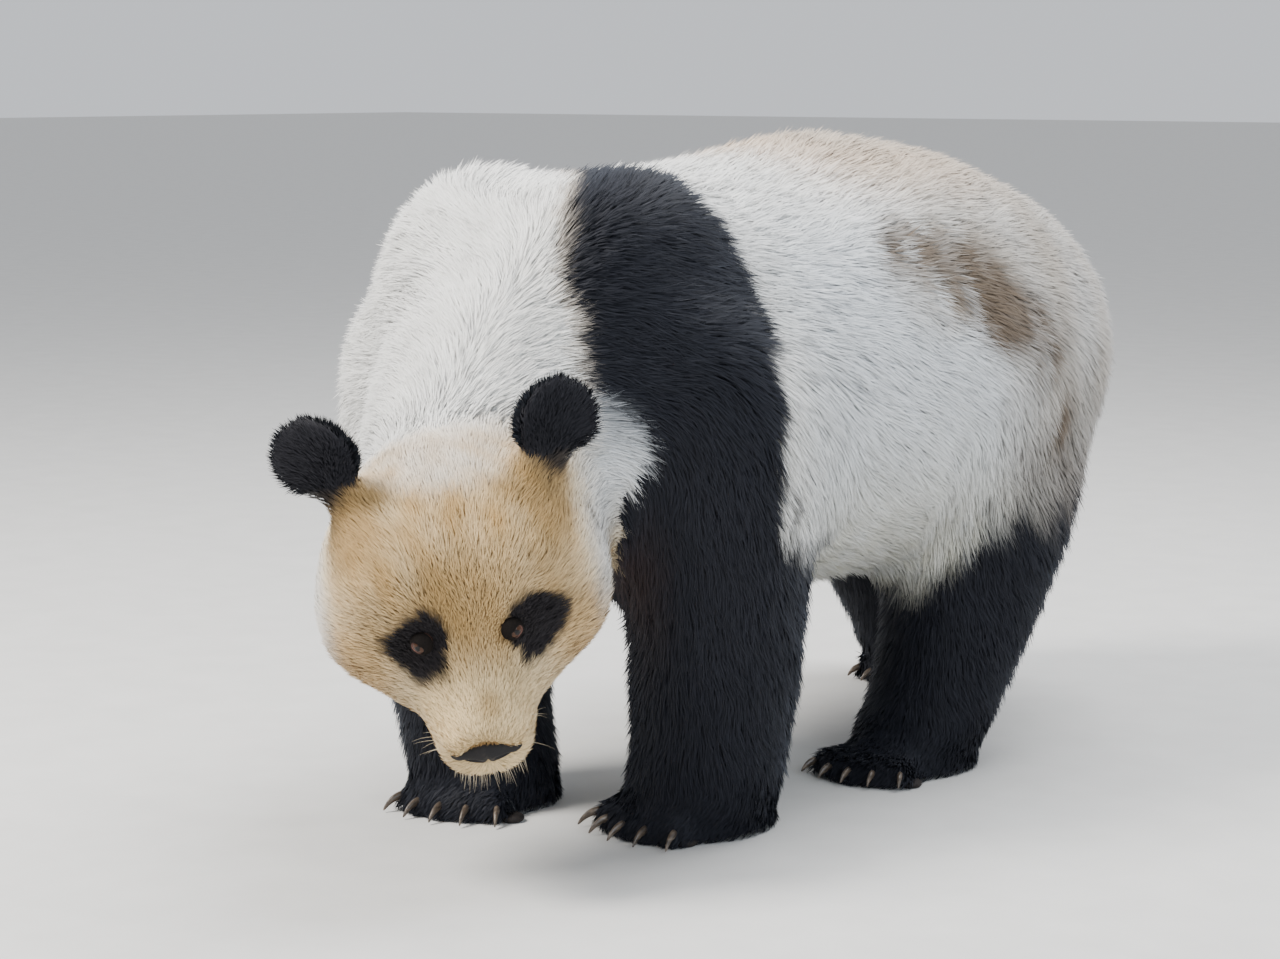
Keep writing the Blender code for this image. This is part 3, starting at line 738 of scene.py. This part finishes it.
def sculpt_face(points, face):
    """Shallow eye sockets, the muzzle carried forward over the nose, the lip and a crease for the mouth."""
    head = in_head(points)
    tip = ease(-head[:, 1], 0.148, 0.172) * face
    over_nose = tip * ease(head[:, 2], -0.024, -0.010)
    lip = tip * np.exp(-(((head[:, 2] + 0.044) / 0.009) ** 2))
    crease = tip * np.exp(-(((head[:, 2] + 0.059) / 0.005) ** 2))
    hollow = sum(spot(head, (x, -0.102, z), (0.040, 0.045, 0.040)) for x, z in PATCHES.values()) * face
    points = points + np.outer(SOCKET_DEPTH * hollow, HEAD_TURN[:, 1])
    forward = OVER_NOSE * over_nose + LIP_RISE * lip - MOUTH_DEPTH * crease
    return points - np.outer(forward, HEAD_TURN[:, 1])


def make_skin():
    """The one skin under the coat: the flesh nodes joined, smoothed, and drawn in by the coat's depth."""
    made = join_flesh()
    data = remeshed(made, SKIN_VOXEL)
    points, edges = read_points(data), read_edges(data)
    parts = nearest_parts(points)
    kinds = np.array([coat_kind(part) for part in parts])
    free = np.where(np.isin(kinds, ("paw", "ear", "muzzle", "lower_jaw")), 0.25, 1.0)
    free = spread(free, edges, FREE_ROUNDS)
    points = spread(points, edges, SHAPE_ROUNDS, weights=free)
    rows = np.array([COAT[kind][:5] for kind in kinds])
    rows = spread(rows, edges, COAT_ROUNDS)
    head = in_head(points)
    eyes = np.minimum(*(np.linalg.norm(head - eye_place(sign), axis=1) for sign in (1, -1)))
    near_eye = 1 - ease(eyes, 0.016, 0.040)
    for column, by_eye in enumerate(COAT_BY_EYE):
        rows[:, column] = rows[:, column] * (1 - near_eye) + by_eye * near_eye
    data.vertices.foreach_set("co", points.astype(np.float32).ravel())
    data.update()
    normals = spread(read_points(data, "normal"), edges, NORMAL_ROUNDS)
    sole = 1 - ease(points[:, 2], 0.004, 0.020)
    depth = rows[:, 0] * (1 - sole)
    points = points - unit(normals) * depth[:, None]
    points = spread(points, edges, LAST_ROUNDS, weights=free)
    points = sculpt_face(points, np.isin(parts, FACE_NODES))
    points[:, 2] = np.maximum(points[:, 2], SOLE_HEIGHT)
    data.vertices.foreach_set("co", points.astype(np.float32).ravel())
    data.update()
    for polygon in data.polygons:
        polygon.use_smooth = True
    # The skin's marking is darkened by a tenth: painted shade under the coat.
    paint(data, markings(points, parts) * 0.9)
    data.materials.clear()
    data.materials.append(skin_finish())
    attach(made, "root")
    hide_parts(*FLESH)
    return made, points, edges, parts, rows


# ---------------------------------------------------------------------------------------------------------
# Coat
# ---------------------------------------------------------------------------------------------------------
def lie_of_coat(points, normals, parts, edges):
    """The way the hair lies at each point of the skin: back from the nose, down the sides and legs."""
    head = in_head(points)
    nose = from_head(NOSE_IN_HEAD)
    steep = 1 - ease(np.abs(normals[:, 2]), 0.25, 0.85)
    lie = np.stack([np.zeros(len(points)), np.ones(len(points)), -0.55 * steep], 1)
    legs = np.char.endswith(parts, "_upper") | np.char.endswith(parts, "_lower")
    high_up = ease(points[:, 2], 0.36, 0.62)[:, None]
    lie[legs] = ((1 - high_up) * np.array((0.0, 0.22, -1.0)) + high_up * lie)[legs]
    lie[np.char.endswith(parts, "_paw")] = (0.0, -0.75, -0.55)
    lie[parts == "tail"] = (0.0, 0.05, -1.0)
    outward = ease(np.abs(points[:, 0] - 0.06), 0.03, 0.12) * np.sign(points[:, 0] - 0.06)
    over_neck = np.stack([0.35 * outward, np.full(len(points), 0.9), -0.25 * np.abs(outward)], 1)
    lie[parts == "neck"] = over_neck[parts == "neck"]
    facing_front = ease(-normals[:, 1], 0.15, 0.60) * (legs | (parts == "neck")) * high_up[:, 0]
    lie[:, 0] += 0.9 * facing_front * np.sign(points[:, 0] - 0.04)
    chest_front = (parts == "neck") & (points[:, 2] < 0.36)
    lie[chest_front] = (0.0, 0.2, -1.0)
    belly = np.isin(parts, ("belly", "rump", "chest")) & (normals[:, 2] < -0.5)
    lie[belly] = (0.0, 1.0, 0.0)
    face = np.isin(parts, FACE_NODES)
    from_nose = points - (nose + HEAD_TURN @ (0.0, 0.0, -0.020))
    across = head[face, 0]
    outwards = np.outer(np.sign(across) * ease(np.abs(across), 0.02, 0.09), HEAD_TURN[:, 0])
    lie[face] = unit(from_nose[face]) + 0.35 * outwards
    lie[parts == "lower_jaw"] = HEAD_TURN @ (0.0, 0.9, -0.5)
    for name, sign in SIDES:
        ear = parts == f"ear_{name}"
        root = from_head((sign * 0.092, 0.075, 0.060))
        lie[ear] = unit(points[ear] - root)
    lie = flatten_to(lie, normals)
    lie = spread(lie, edges, LIE_ROUNDS)
    return flatten_to(lie, normals)


def sample_skin(triangles, corners, density, most):
    """Random places over the triangles: which triangle, and the shares of its three corners."""
    a, b, c = (corners[triangles[:, k]] for k in range(3))
    areas = np.linalg.norm(np.cross(b - a, c - a), axis=1) / 2
    weights = areas * density[triangles].mean(1)
    number = most
    running = np.cumsum(weights) / weights.sum()
    picks = np.searchsorted(running, (np.arange(number) + rng.random(number)) / number)
    picks = np.minimum(picks, len(triangles) - 1)
    u, v = rng.random(number), rng.random(number)
    over = u + v > 1
    u[over], v[over] = 1 - u[over], 1 - v[over]
    return picks, np.stack([1 - u - v, u, v], 1)


def box_unwrap(points, normals):
    """Each point's place on an unwrap of this stretch of skin: six sheets by the way that it faces."""
    low, high = points.min(0), points.max(0)
    size = np.maximum(high - low, 1e-6)
    share = (points - low) / size
    axis = np.abs(normals).argmax(1)
    positive = normals[np.arange(len(normals)), axis] > 0
    first = np.where(axis == 0, share[:, 1], share[:, 0])
    second = np.where(axis == 2, share[:, 1], share[:, 2])
    sheet = axis * 2 + positive
    column, row = sheet % 3, sheet // 3
    margin = OFBAKE_MARGIN
    u = (column + margin + first * (1 - 2 * margin)) / 3
    v = (row + margin + second * (1 - 2 * margin)) / 2
    return np.stack([u, v], 1)


def grow_coat(name, slot, most, triangles, skin_points, normals, rows, lie, colours, density, material):
    """One piece of coat: thin tufts rooted in these triangles, bent over along the lie of the coat."""
    picks, shares = sample_skin(triangles, skin_points, density, most)
    corners = triangles[picks]

    def at(values):
        return (values[corners] * shares.reshape(len(shares), 3, *([1] * (values.ndim - 1)))).sum(1)

    root, normal, way, row, colour = at(skin_points), unit(at(normals)), at(lie), at(rows), at(colours)
    number = len(root)
    length = row[:, 1] * rng.uniform(*LENGTH_SPREAD, number)
    width = row[:, 2] * rng.uniform(*WIDTH_SPREAD, number)
    swirl = 0.20 * waves(root, wavelength=0.060, seed=21) + 0.12 * waves(root, wavelength=0.022, seed=22)
    swirl = swirl + rng.normal(0, 0.16, number)
    way = flatten_to(way, normal)
    side = np.cross(normal, way)
    way = unit(way + side * swirl[:, None])
    side = np.cross(normal, way)
    clump = 4.5 * waves(root, wavelength=0.020, seed=23) + rng.normal(0, 3.5, number)
    first = np.radians(row[:, 3] + clump)[:, None]
    second = np.radians(row[:, 4] + clump * 0.8)[:, None]
    half = (length / 2)[:, None]
    middle = root + half * (np.cos(first) * way + np.sin(first) * normal)
    droop = np.array((0, 0, -TIP_DROOP))
    tip = middle + half * unit(np.cos(second) * way + np.sin(second) * normal + droop)
    root = root - normal * ROOT_DEPTH
    wide = width[:, None] * side
    twist = rng.normal(0, 0.22, number)[:, None] * width[:, None] * normal
    mid_left, mid_right = middle - 0.50 * wide - twist, middle + 0.50 * wide + twist
    spots = np.stack([root - 0.40 * wide, root + 0.40 * wide, mid_left, mid_right, tip], 1)
    spots[:, :, 2] = np.maximum(spots[:, :, 2], LEAST_COAT_HEIGHT)
    first_points = np.arange(number)[:, None] * len(TUFT_PLACES)
    corner_list = (first_points + np.array(TUFT_FACES).ravel()[None]).ravel()
    data = mesh_of_triangles(name, spots.reshape(-1, 3), corner_list)
    shade = rng.uniform(*SHADE_SPREAD, number)[:, None, None]
    # Painted shade along each tuft: darker at the root, deep in the coat.
    depth_shade = np.array(TUFT_DEPTH_SHADE)[None, :, None]
    paint(data, (colour[:, None] * shade * depth_shade).reshape(-1, 3))
    lean = np.array(TUFT_LEAN)[None, :, None]
    soft = unit(normal[:, None] + rng.normal(0, 0.13, (number, 1, 3)) + lean * way[:, None])
    custom = data.attributes.new("custom_normal", "FLOAT_VECTOR", "POINT")
    custom.data.foreach_set("vector", soft.astype(np.float32).ravel())
    layer = data.uv_layers.new(name="OFBake")
    place = box_unwrap(root, normal)
    patch = (place[:, None] + (TUFT_PLACES[None] - (0.0, 0.5)) * OFBAKE_PATCH).reshape(-1, 2)
    layer.data.foreach_set("uv", patch[corner_list].astype(np.float32).ravel())
    made = bpy.data.objects.new(name, data)
    bpy.context.scene.collection.objects.link(made)
    data.materials.append(material)
    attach(made, "root")


def make_coat(skin, points, edges, parts, rows):
    """All the pieces of coat, with the bald places of the soles, eyes and nose left out."""
    data = skin.data
    data.calc_loop_triangles()
    triangles = np.empty(len(data.loop_triangles) * 3, np.int32)
    data.loop_triangles.foreach_get("vertices", triangles)
    triangles = triangles.reshape(-1, 3)
    normals = unit(read_points(data, "normal"))
    smooth_normals = unit(spread(normals, edges, ROOT_ROUNDS))
    lie = lie_of_coat(points, smooth_normals, parts, edges)
    colours = markings(points, parts)
    density = np.array([COAT[coat_kind(part)][5] for part in parts], float)
    density = spread(density, edges, DENSITY_ROUNDS)
    density[(points[:, 2] < 0.012) & (normals[:, 2] < -0.4)] = 0
    head = in_head(points)
    for sign in (1, -1):
        away = np.linalg.norm(head - eye_place(sign), axis=1)
        density[away < BARE_EYE] = 0
    nose_away = np.linalg.norm((head - NOSE_PLACE) / NOSE_SIZE, axis=1)
    density[nose_away < BARE_NOSE] = 0
    material = coat_finish()
    for group, (members, slot, most) in COAT_PIECES.items():
        chosen = np.isin(parts, members)[triangles[:, 0]]
        fields = (points, smooth_normals, rows, lie, colours, density)
        grow_coat(f"coat_{group}", slot, most, triangles[chosen], *fields, material)


# ---------------------------------------------------------------------------------------------------------
# Face pieces
# ---------------------------------------------------------------------------------------------------------
def ball(segments, rings):
    mesh = bmesh.new()
    bmesh.ops.create_uvsphere(mesh, u_segments=segments, v_segments=rings, radius=1.0)
    return mesh


def finish_piece(mesh, name, material, replaced=()):
    bmesh.ops.recalc_face_normals(mesh, faces=mesh.faces)
    for face in mesh.faces:
        face.smooth = True
    made = object_from(mesh, name)
    made.data.materials.append(material)
    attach(made, "root")
    if replaced:
        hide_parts(*replaced)
    return made


def make_nose():
    """A broad nose pad with two comma nostrils and a groove down its middle."""
    mesh = ball(72, 48)
    for vertex in mesh.verts:
        x, y, z = vertex.co
        squarer = 1 + 0.10 * (abs(x) ** 3)
        px, py, pz = x * NOSE_SIZE[0] * squarer, y * NOSE_SIZE[1], z * NOSE_SIZE[2]
        groove = math.exp(-((x / 0.07) ** 2)) * (1 if y < 0 else 0)
        groove *= 1 - math.exp(-(((z - 0.8) / 0.5) ** 2)) * 0.7
        py += GROOVE_DEPTH * groove
        for sign in (1, -1):
            hole = math.exp(-(((x - sign * 0.46) / 0.20) ** 2 + ((z + 0.10) / 0.26) ** 2))
            slit = math.exp(-(((x - sign * 0.72) / 0.16) ** 2 + ((z + 0.34) / 0.14) ** 2))
            if y < 0.2:
                py += NOSTRIL_DEPTH * hole + SLIT_DEPTH * slit
        px *= 1 - 0.12 * max(0.0, -z)
        vertex.co = Vector(from_head(np.array(NOSE_PLACE) + (px, py, pz)))
    dark, light = (0.010, 0.009, 0.010), (0.014, 0.012, 0.012)
    material = leather_finish("nose_skin", dark, light, grain=700.0, roughness=0.62)
    finish_piece(mesh, "nose_pad", material, ("nose",))


def eye_axes(sign):
    """Gaze, the eye's width along the lids, and its height, in the head's axes."""
    gaze = unit(np.array((sign * GAZE[0], GAZE[1], GAZE[2])))
    wide = unit(np.cross((0.0, 0.0, 1.0), gaze))
    high = np.cross(gaze, wide)
    along, aside = math.cos(math.radians(EYE_SLANT)), math.sin(math.radians(EYE_SLANT))
    return gaze, wide * along + sign * high * aside, high * along - sign * wide * aside


def make_eye(name, sign, material):
    """An eyeball with a brown iris round a dark upright pupil, and a clear bulge over it."""
    mesh = ball(48, 32)
    centre = eye_place(sign)
    gaze, wide, high = eye_axes(sign)
    turn = np.stack([wide, high, gaze], 1)
    colours = []
    for vertex in mesh.verts:
        x, y, z = vertex.co
        off = math.degrees(math.acos(max(-1.0, min(1.0, z))))
        bulge = 1 + CORNEA_RISE * math.exp(-((off / CORNEA_REACH) ** 2))
        pupil = (x / PUPIL_HALF[0]) ** 2 + (y / PUPIL_HALF[1]) ** 2 < 1 and z > 0
        ground = IRIS_BROWN if off < IRIS_REACH else EYE_EDGE
        colours.append(PUPIL_BLACK if pupil else ground)
        vertex.co = Vector(from_head(centre + turn @ (np.array((x, y, z)) * EYE_RADIUS * bulge)))
    made = finish_piece(mesh, f"eyeball_{name}", material, (f"eye_{name}",))
    paint(made.data, np.array(colours))


def make_lids(name, sign, material):
    """Upper and lower lid as one ring round the eye, rolled at the edge of an almond opening."""
    gaze, wide, high = eye_axes(sign)
    centre = eye_place(sign)
    mesh = bmesh.new()
    rings = []
    for share, lift in LID_PROFILE:
        ring = []
        for step in range(LID_STEPS):
            turn = 2 * math.pi * step / LID_STEPS
            lid = UPPER_LID if math.sin(turn) > 0 else LOWER_LID
            opening = math.hypot(LID_HALF_WIDTH * math.cos(turn), lid * math.sin(turn))
            reach = math.radians(opening + (LID_REACH - opening) * max(share, 0.0) - LID_ROLL * (share < 0))
            way = gaze * math.cos(reach) + (wide * math.cos(turn) + high * math.sin(turn)) * math.sin(reach)
            ring.append(mesh.verts.new(from_head(centre + way * EYE_RADIUS * lift)))
        rings.append(ring)
    for inner, outer in zip(rings, rings[1:]):
        for step in range(LID_STEPS):
            after = (step + 1) % LID_STEPS
            mesh.faces.new((inner[step], inner[after], outer[after], outer[step]))
    inner, outer = rings[0], rings[-1]
    for step in range(LID_STEPS):
        after = (step + 1) % LID_STEPS
        mesh.faces.new((inner[step], outer[step], outer[after], inner[after]))
    made = finish_piece(mesh, f"eyelids_{name}", material)
    colours = np.tile(LID_BLACK, (len(made.data.vertices), 1))
    for ring, share in ((0, 0.3), (1, 0.6), (2, 0.1)):
        for step in range(LID_STEPS):
            turn = 2 * math.pi * step / LID_STEPS
            low_rim = max(0.0, -math.sin(turn - sign * 0.5)) ** 0.7
            place = ring * LID_STEPS + step
            colours[place] += (LID_RIM - colours[place]) * share * low_rim
    paint(made.data, colours)


def make_claws(material):
    """The claws of each foot, rounded from the solids of the frame."""
    for leg in LEGS:
        names = [f"{leg}_claw_{number}" for number in CLAWS]
        whole = bmesh.new()
        for name in names:
            whole.from_mesh(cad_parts[name].data)
        bmesh.ops.remove_doubles(whole, verts=whole.verts, dist=1e-5)
        rough = object_from(whole, "rough")
        round_off = rough.modifiers.new("Round", "SUBSURF")
        round_off.levels = round_off.render_levels = 2
        bpy.context.view_layer.update()
        data = bpy.data.meshes.new_from_object(rough.evaluated_get(bpy.context.evaluated_depsgraph_get()))
        bpy.data.objects.remove(rough)
        mesh = bmesh.new()
        mesh.from_mesh(data)
        finish_piece(mesh, f"{leg}_claws", material, names)


def add_hair(mesh, root, way, bend, length, thick, steps=6):
    """A tapered three-sided hair that curves towards the bend as it goes."""
    root, way, bend = np.array(root), unit(np.array(way)), np.array(bend)
    across = unit(np.cross(way, (0.31, 0.52, 0.79)))
    over = np.cross(way, across)
    rings = []
    for step in range(steps):
        share = step / (steps - 1)
        centre = root + way * length * share + bend * length * share**2
        wide = thick * (1 - 0.9 * share)
        ring = []
        for corner in range(3):
            turn = 2 * math.pi * corner / 3
            ring.append(mesh.verts.new(centre + wide * (across * math.cos(turn) + over * math.sin(turn))))
        rings.append(ring)
    for inner, outer in zip(rings, rings[1:]):
        for corner in range(3):
            after = (corner + 1) % 3
            mesh.faces.new((inner[corner], inner[after], outer[after], outer[corner]))
    mesh.faces.new(rings[0][::-1])
    mesh.faces.new(rings[-1])


def make_whiskers(skin):
    """Whiskers from the sides of the muzzle, and a pale fringe hanging from the lip."""
    corners = [vertex.co for vertex in skin.data.vertices]
    surface = BVHTree.FromPolygons(corners, [polygon.vertices for polygon in skin.data.polygons])
    draw = np.random.default_rng(31)
    mesh = bmesh.new()

    def rooted(place):
        return np.array(surface.find_nearest(Vector(from_head(place)))[0])

    for sign in (1, -1):
        for _ in range(SIDE_WHISKERS):
            across, back = draw.uniform(0.030, 0.046), draw.uniform(-0.185, -0.150)
            place = (sign * across, back, draw.uniform(-0.050, -0.020))
            out, back = draw.uniform(0.7, 1.0), draw.uniform(-0.2, 0.5)
            way = HEAD_TURN @ (sign * out, back, draw.uniform(-0.4, 0.1))
            add_hair(mesh, rooted(place), way, (0, 0, -0.25), draw.uniform(0.012, 0.028), 0.00025)
    for _ in range(LIP_HAIRS):
        across = draw.uniform(-0.034, 0.034)
        place = (across, -0.200 + 6.0 * across**2, draw.uniform(-0.062, -0.042))
        way = HEAD_TURN @ (across * 8 + draw.normal(0, 0.15), -0.75, draw.uniform(-0.8, -0.3))
        add_hair(mesh, rooted(place), way, (0, 0, -0.20), draw.uniform(0.008, 0.020), 0.00032)
    finish_piece(mesh, "whiskers", whisker_finish())


def make_pads():
    """Black leather pads under every foot: one broad pad and a small one behind each claw."""
    dark, light = (0.012, 0.010, 0.010), (0.028, 0.022, 0.020)
    material = leather_finish("pad_leather", dark, light, grain=500.0, roughness=0.7)
    for leg in LEGS:
        low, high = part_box(f"{leg}_paw")
        middle, size = (low + high) / 2, high - low
        spans = [(middle.x, middle.y + SOLE_PAD_BACK, 0.30 * size.x, 0.20 * size.y)]
        for number in CLAWS:
            claw_low, claw_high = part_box(f"{leg}_claw_{number}")
            spans.append(((claw_low.x + claw_high.x) / 2, claw_high.y + TOE_PAD_BACK, *TOE_PAD))
        whole = bmesh.new()
        for x, y, wide, long in spans:
            mesh = ball(24, 16)
            for vertex in mesh.verts:
                height = max(PAD_FLOOR, PAD_RISE + PAD_HEIGHT * vertex.co.z)
                vertex.co = Vector((x + vertex.co.x * wide, y + vertex.co.y * long, height))
            data = bpy.data.meshes.new("pad")
            mesh.to_mesh(data)
            mesh.free()
            whole.from_mesh(data)
            bpy.data.meshes.remove(data)
        finish_piece(whole, f"{leg}_pads", material)


def make_face():
    """The nose, and both eyes with their lids."""
    make_nose()
    eye_material = eye_finish()
    lid_material = lid_finish()
    for name, sign in SIDES:
        make_eye(name, sign, eye_material)
        make_lids(name, sign, lid_material)


make_camera()
make_studio()
make_floor()
skin, skin_points, skin_edges, skin_parts, skin_rows = make_skin()
make_coat(skin, skin_points, skin_edges, skin_parts, skin_rows)
make_face()
make_whiskers(skin)
make_claws(horn_finish())
make_pads()
